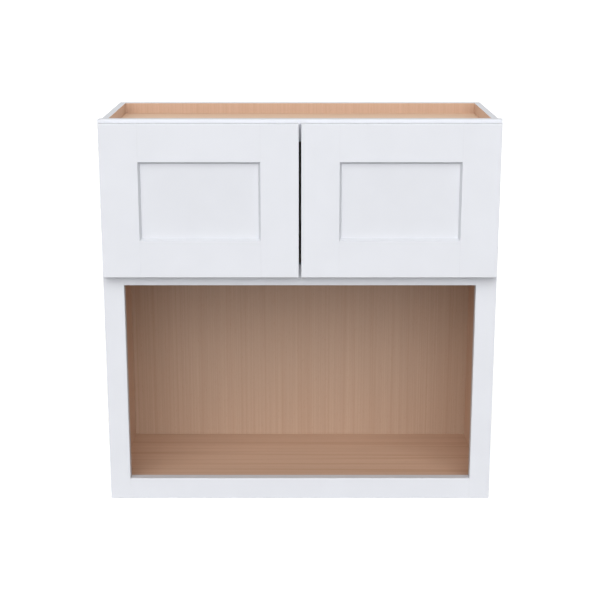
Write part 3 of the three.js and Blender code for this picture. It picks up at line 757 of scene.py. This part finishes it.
def screw_tree():
    """A tree that puts a domed, cross-recessed screw on each point, facing along the point's drive."""
    bar_width = 0.24  # of the cross's bars, as a share of the cross's width
    tip_width = 0.2  # of the shank's end, as a share of the shank's radius
    turn = 1.9  # radians between one screw's cross and the next one's
    sizes = ("Head Radius", "Head Height", "Shank Radius", "Length", "Recess Width", "Recess Depth")
    tree, given = new_tree("Domed screws", *sizes, Finish="Material")
    # The head is a ball pressed flat below and drawn to the head's height above.
    radius, height = given["Head Radius"], given["Head Height"]
    ball, x, y, rise = half_ball(tree, radius, height, fullness=0.6, segments=40, rings=20)
    domed = add_node(tree, "ShaderNodeCombineXYZ", (x, y, rise))
    head = add_node(tree, "GeometryNodeSetPosition", {"Geometry": ball, "Position": domed})

    # Two crossing bars cut the recess.
    width = given["Recess Width"]
    thickness = add_node(tree, "ShaderNodeMath", (width, bar_width), operation="MULTIPLY")
    twice = add_node(tree, "ShaderNodeMath", (given["Recess Depth"], 2.0), operation="MULTIPLY")
    top = add_node(tree, "ShaderNodeCombineXYZ", {"Z": height})
    bars = []
    for sides in ((width, thickness), (thickness, width)):
        size = add_node(tree, "ShaderNodeCombineXYZ", (*sides, twice))
        bar = add_node(tree, "GeometryNodeMeshCube", {"Size": size})
        bars.append(add_node(tree, "GeometryNodeTransform", {"Geometry": bar, "Translation": top}))
    cross = add_node(tree, "GeometryNodeJoinGeometry", {"Geometry": bars})
    parts = {"Mesh 1": head, "Mesh 2": cross, "Self Intersection": True}
    cut = add_node(tree, "GeometryNodeMeshBoolean", parts, operation="DIFFERENCE", solver="EXACT")

    # The shank is a cone that narrows from its full width under the head to its tip.
    stem = given["Shank Radius"]
    tip = add_node(tree, "ShaderNodeMath", (stem, tip_width), operation="MULTIPLY")
    cone = {"Vertices": 20, "Radius Top": tip, "Radius Bottom": stem, "Depth": given["Length"]}
    upward = add_node(tree, "GeometryNodeMeshCone", cone)
    over = {"Geometry": upward, "Rotation": (math.pi, 0.0, 0.0)}
    shank = add_node(tree, "GeometryNodeTransform", over)
    screw = add_node(tree, "GeometryNodeJoinGeometry", {"Geometry": [shank, cut]})

    drive = add_node(tree, "GeometryNodeInputNamedAttribute", {"Name": "drive"}, data_type="FLOAT_VECTOR")
    aim = add_node(tree, "FunctionNodeAlignRotationToVector", {"Vector": drive}, axis="Z")
    # Every screw stops at its own angle.
    number = add_node(tree, "GeometryNodeInputIndex")
    angle = add_node(tree, "ShaderNodeMath", (number, turn), operation="MULTIPLY")
    spin = add_node(tree, "FunctionNodeAxisAngleToRotation", {"Axis": (0, 0, 1), "Angle": angle})
    spun = add_node(tree, "FunctionNodeRotateRotation", (aim, spin), rotation_space="LOCAL")
    copies = {"Points": given["Geometry"], "Instance": screw, "Rotation": spun}
    instances = add_node(tree, "GeometryNodeInstanceOnPoints", copies)
    end_tree(tree, instances, given["Finish"], sharp_angle=math.radians(40))
    return tree


class CABINET_OT_screws(bpy.types.Operator):
    """Drive cross-recessed screws into the hinge cups and plates"""

    bl_idname = "cabinet.screws"
    bl_label = "Drive the Hinge Screws"

    def execute(self, context):
        finishes, hardware = context.scene.cabinet_finishes, context.scene.cabinet_hardware
        zinc = plated_steel("zinc_plated_screw", finishes.zinc, roughness=0.26, grain=0.4 * MM)
        tree = screw_tree()
        into_frame = {"left": Vector((1, 0, 0)), "right": Vector((-1, 0, 0))}
        jobs = {"left_door": [], "right_door": [], "root": []}
        for side, hinge in HINGES:
            for number in (1, 2):
                jobs[f"{side}_door"].append((f"{hinge}_cup_screw_{number}", Vector((0, 1, 0))))
                jobs["root"].append((f"{hinge}_plate_screw_{number}", into_frame[side]))
        for body, screws in jobs.items():
            nodes = [node for node, _ in screws]
            drives = [drive for _, drive in screws]
            low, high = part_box(nodes[0])
            length = max(high - low)
            seats = [middle(node) + drive * (length / 2 - hardware.head_height) for node, drive in screws]
            settings = {
                "Head Radius": (high - low).z / 2,
                "Head Height": hardware.head_height,
                "Shank Radius": hardware.shank_radius,
                "Length": length - hardware.head_height,
                "Recess Width": hardware.recess_width,
                "Recess Depth": hardware.recess_depth,
                "Finish": zinc,
            }
            name = f"{body}_hinge_screws"
            mesh = grow(name, new_mesh(name, seats, drive=drives), tree, settings)
            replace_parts(new_piece(name, mesh, body), *nodes)
        return {"FINISHED"}


def staple_tree():
    """A tree that sets staples at a pitch along each edge of a mesh, each a little askew."""
    steepness = 8.0  # of the dip, which leaves the crown straight up to its shoulders
    lean = 0.07  # the most radians that a staple stands askew by
    tree, given = new_tree("Row of staples", "Crown", "Wire", "Pitch", Seed="Int", Finish="Material")
    row = add_node(tree, "GeometryNodeMeshToCurve", {"Mesh": given["Geometry"]})
    spacing = {"Curve": row, "Length": given["Pitch"]}
    spaced = add_node(tree, "GeometryNodeResampleCurve", spacing, mode="LENGTH")
    points = add_node(tree, "GeometryNodeCurveToPoints", {"Curve": spaced}, mode="EVALUATED")

    # The crown is a wire whose shoulders dip into the wood.
    half = add_node(tree, "ShaderNodeMath", (given["Crown"], 0.5), operation="MULTIPLY")
    left = add_node(tree, "ShaderNodeMath", (half, -1.0), operation="MULTIPLY")
    start, end = (add_node(tree, "ShaderNodeCombineXYZ", {"X": x}) for x in (left, half))
    line = add_node(tree, "GeometryNodeCurvePrimitiveLine", {"Start": start, "End": end})
    fine = add_node(tree, "GeometryNodeResampleCurve", {"Curve": line, "Count": 17}, mode="COUNT")
    out = add_node(tree, "ShaderNodeMath", (own_place(tree)["X"],), operation="ABSOLUTE")
    share = add_node(tree, "ShaderNodeMath", (out, half), operation="DIVIDE")
    bend = add_node(tree, "ShaderNodeMath", (share, steepness), operation="POWER")
    wire = add_node(tree, "ShaderNodeMath", (given["Wire"], -1.0), operation="MULTIPLY")
    dip = add_node(tree, "ShaderNodeMath", (bend, wire), operation="MULTIPLY")
    sunk = add_node(tree, "ShaderNodeCombineXYZ", {"Y": dip})
    crown = add_node(tree, "GeometryNodeSetPosition", {"Geometry": fine, "Offset": sunk})
    radius = add_node(tree, "ShaderNodeMath", (given["Wire"], 0.5), operation="MULTIPLY")
    section = add_node(tree, "GeometryNodeCurvePrimitiveCircle", {"Resolution": 10, "Radius": radius})
    sweep = {"Curve": crown, "Profile Curve": section, "Fill Caps": True}
    staple = add_node(tree, "GeometryNodeCurveToMesh", sweep)

    limits = {"Min": (0.0, -lean, 0.0), "Max": (0.0, lean, 0.0), "Seed": given["Seed"]}
    askew = add_node(tree, "FunctionNodeRandomValue", limits, data_type="FLOAT_VECTOR")
    copies = {"Points": points, "Instance": staple, "Rotation": askew}
    instances = add_node(tree, "GeometryNodeInstanceOnPoints", copies)
    end_tree(tree, instances, given["Finish"], sharp_angle=math.radians(50))
    return tree


class CABINET_OT_staples(bpy.types.Operator):
    """Staple the back panel to the rear edge of the cupboard's deck"""

    bl_idname = "cabinet.staples"
    bl_label = "Staple the Back"

    def execute(self, context):
        finishes, hardware = context.scene.cabinet_finishes, context.scene.cabinet_hardware
        steel = plated_steel("galvanised_staple_wire", finishes.zinc, roughness=0.4, grain=0.4 * MM)
        back_low, back_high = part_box("back_panel")
        bite = 0.2  # of a wire's thickness, from the back's face to the middle of the wire
        sunk = back_high.y - hardware.staple_wire * bite
        inset = hardware.staple_pitch / 2
        start = Vector((back_low.x + inset, sunk, middle("deck_panel").z))
        end = Vector((back_high.x - inset, sunk, start.z))
        base = new_mesh("staple_row", (start, end), edges=[(0, 1)])
        settings = {
            "Crown": hardware.staple_crown,
            "Wire": hardware.staple_wire,
            "Pitch": hardware.staple_pitch,
            "Seed": hardware.staple_seed,
            "Finish": steel,
        }
        mesh = grow("back_panel_staples", base, staple_tree(), settings)
        new_piece("back_panel_staples", mesh, "root")
        return {"FINISHED"}


def dome_tree():
    """A tree that sticks a soft round dome on each point, bulging along +Y."""
    tree, given = new_tree("Stick-on domes", "Radius", "Height", Finish="Material")
    radius, height = given["Radius"], given["Height"]
    ball, x, y, bulge = half_ball(tree, radius, height, fullness=0.72, segments=48, rings=28)
    shape = add_node(tree, "ShaderNodeCombineXYZ", (x, bulge, y))
    dome = add_node(tree, "GeometryNodeSetPosition", {"Geometry": ball, "Position": shape})
    outward = add_node(tree, "GeometryNodeFlipFaces", {"Mesh": dome})
    copies = {"Points": given["Geometry"], "Instance": outward}
    instances = add_node(tree, "GeometryNodeInstanceOnPoints", copies)
    end_tree(tree, instances, given["Finish"], sharp_angle=math.radians(60))
    return tree


class CABINET_OT_bumpers(bpy.types.Operator):
    """Stick a clear dome behind each free corner of the doors"""

    bl_idname = "cabinet.bumpers"
    bl_label = "Stick On the Bumpers"

    def execute(self, context):
        clear = clear_polyurethane(context.scene.cabinet_finishes)
        tree = dome_tree()
        for side in SIDES:
            nodes = [f"{side}_door_{level}_bumper" for level in LEVELS]
            low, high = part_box(nodes[0])
            seats = [Vector((middle(node).x, low.y, middle(node).z)) for node in nodes]
            settings = {"Radius": (high.x - low.x) / 2, "Height": high.y - low.y, "Finish": clear}
            name = f"{side}_door_bumper_domes"
            mesh = grow(name, new_mesh(name, seats), tree, settings)
            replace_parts(new_piece(name, mesh, f"{side}_door"), *nodes)
        return {"FINISHED"}


# ------------ studio

FLOOR_REACH = 30.0  # from the cabinet's middle to each edge of the floor
FLOOR_DROP = 0.2 * MM  # of the floor below the cabinet, so that the two don't share a plane
FLOOR_WHITE = linear("#F0F0F1")
WHITE = (1.0, 1.0, 1.0, 1.0)
LAMP_DISTANCE = 4.0  # only where a lamp's icon stands: its light is parallel
SENSOR_WIDTH = 36.0  # in millimetres, as the lens is


def seen_directly(tree):
    """1 for a ray that looks straight, in a gloss or through a clear piece, and 0 for one that lights."""
    path = add_node(tree, "ShaderNodeLightPath").outputs
    bounced = (path["Is Glossy Ray"], path["Is Transmission Ray"])
    mirrored = add_node(tree, "ShaderNodeMath", bounced, operation="MAXIMUM")
    return add_node(tree, "ShaderNodeMath", (path["Is Camera Ray"], mirrored), operation="MAXIMUM")


def pale_floor(glow, bounce):
    """Matt studio floor that reads as white and keeps a soft shadow, but returns little light upwards."""
    material, tree = new_material("matt_white_studio_floor")
    seen = seen_directly(tree)
    shades = (seen, opaque((bounce,) * 3), opaque(FLOOR_WHITE))
    colour = add_node(tree, "ShaderNodeMix", shades, data_type="RGBA")
    matt = add_node(tree, "ShaderNodeBsdfDiffuse", {"Color": colour})
    strength = add_node(tree, "ShaderNodeMath", (seen, glow), operation="MULTIPLY")
    lift = add_node(tree, "ShaderNodeEmission", {"Color": WHITE, "Strength": strength})
    both = add_node(tree, "ShaderNodeAddShader", (matt, lift))
    # Its lower side is clear, so that the cabinet can be looked at from below.
    below = add_node(tree, "ShaderNodeNewGeometry").outputs["Backfacing"]
    clear = add_node(tree, "ShaderNodeBsdfTransparent")
    sheet = add_node(tree, "ShaderNodeMixShader", (below, both, clear))
    add_node(tree, "ShaderNodeOutputMaterial", {"Surface": sheet})
    return material


def even_room(sky):
    """A world that looks white and lights the cabinet evenly with the strength of the sky."""
    world = bpy.data.worlds.new("even_room_light")
    world.use_nodes = True
    tree = world.node_tree
    tree.nodes.clear()
    strength = add_node(tree, "ShaderNodeMapRange", (seen_directly(tree), 0.0, 1.0, sky, 1.0))
    glow = add_node(tree, "ShaderNodeBackground", {"Color": WHITE, "Strength": strength})
    add_node(tree, "ShaderNodeOutputWorld", {"Surface": glow})
    return world


def wide_light(name, elevation, azimuth, spread, strength):
    """Soft parallel light from a wide disc, which azimuth turns from the camera's side to the right."""
    lamp = bpy.data.lights.new(name, "SUN")
    lamp.angle = spread
    lamp.energy = strength
    level = math.cos(elevation)
    source = Vector((level * math.sin(azimuth), -level * math.cos(azimuth), math.sin(elevation)))
    holder = bpy.data.objects.new(name, lamp)
    holder.location = source * LAMP_DISTANCE
    holder.rotation_euler = (-source).to_track_quat("-Z", "Y").to_euler()
    bpy.context.scene.collection.objects.link(holder)


class CABINET_OT_studio(bpy.types.Operator):
    """Set up the floor, the room light, the lamps and the camera"""

    bl_idname = "cabinet.studio"
    bl_label = "Set Up the Studio"

    def execute(self, context):
        scene = context.scene
        studio = scene.cabinet_studio
        scene.view_settings.view_transform = "Standard"

        level = CAD_LOW.z - FLOOR_DROP
        ways = ((-1, -1), (1, -1), (1, 1), (-1, 1))
        corners = [(x * FLOOR_REACH, y * FLOOR_REACH, level) for x, y in ways]
        mesh = new_mesh("studio_floor", corners, faces=[(0, 1, 2, 3)])
        mesh.materials.append(pale_floor(studio.floor_glow, studio.floor_bounce))
        floor = bpy.data.objects.new("studio_floor", mesh)
        scene.collection.objects.link(floor)

        scene.world = even_room(studio.sky)
        wide_light("front_light", studio.front_elevation, studio.azimuth, studio.front_spread, studio.front)
        wide_light("upper_light", studio.upper_elevation, studio.azimuth, studio.spread, studio.upper)
        for side, turn in (("left", -studio.rear_azimuth), ("right", studio.rear_azimuth)):
            wide_light(f"{side}_rear_light", studio.rear_elevation, turn, studio.spread, studio.rear)

        camera = bpy.data.cameras.new("photograph_view")
        camera.sensor_width = SENSOR_WIDTH
        camera.lens = studio.lens
        camera.shift_y = studio.shift
        viewer = bpy.data.objects.new("photograph_view", camera)
        viewer.location = (0.0, -studio.camera_distance, studio.camera_height)
        viewer.rotation_euler = (math.pi / 2 - studio.camera_pitch, 0.0, 0.0)
        scene.collection.objects.link(viewer)
        scene.camera = viewer
        return {"FINISHED"}


# ------------ panel and registration


STEPS = (
    CABINET_OT_face_frame,
    CABINET_OT_carcase,
    CABINET_OT_doors,
    CABINET_OT_hinges,
    CABINET_OT_screws,
    CABINET_OT_staples,
    CABINET_OT_bumpers,
    CABINET_OT_studio,
)
SETTINGS = {
    "cabinet_finishes": CabinetFinishes,
    "cabinet_hardware": CabinetHardware,
    "cabinet_studio": CabinetStudio,
}


class VIEW3D_PT_cabinet(bpy.types.Panel):
    """Steps and settings of the microwave cabinet"""

    bl_label = "Microwave Cabinet"
    bl_category = "Cabinet"
    bl_space_type = "VIEW_3D"
    bl_region_type = "UI"

    def draw(self, context):
        for step in STEPS:
            self.layout.operator(step.bl_idname)
        for name, group in SETTINGS.items():
            box = self.layout.box()
            for field in group.__annotations__:
                box.prop(getattr(context.scene, name), field)


def register():
    """Registers the settings, the steps and the panel."""
    for group in SETTINGS.values():
        bpy.utils.register_class(group)
    for name, group in SETTINGS.items():
        setattr(bpy.types.Scene, name, PointerProperty(type=group))
    for step in (*STEPS, VIEW3D_PT_cabinet):
        bpy.utils.register_class(step)


def unregister():
    """Takes back all that register added."""
    for step in (VIEW3D_PT_cabinet, *reversed(STEPS)):
        bpy.utils.unregister_class(step)
    for name, group in SETTINGS.items():
        delattr(bpy.types.Scene, name)
        bpy.utils.unregister_class(group)


def main():
    """Runs every step."""
    register()
    for step in STEPS:
        family, name = step.bl_idname.split(".")
        getattr(getattr(bpy.ops, family), name)()


if __name__ == "__main__":
    main()
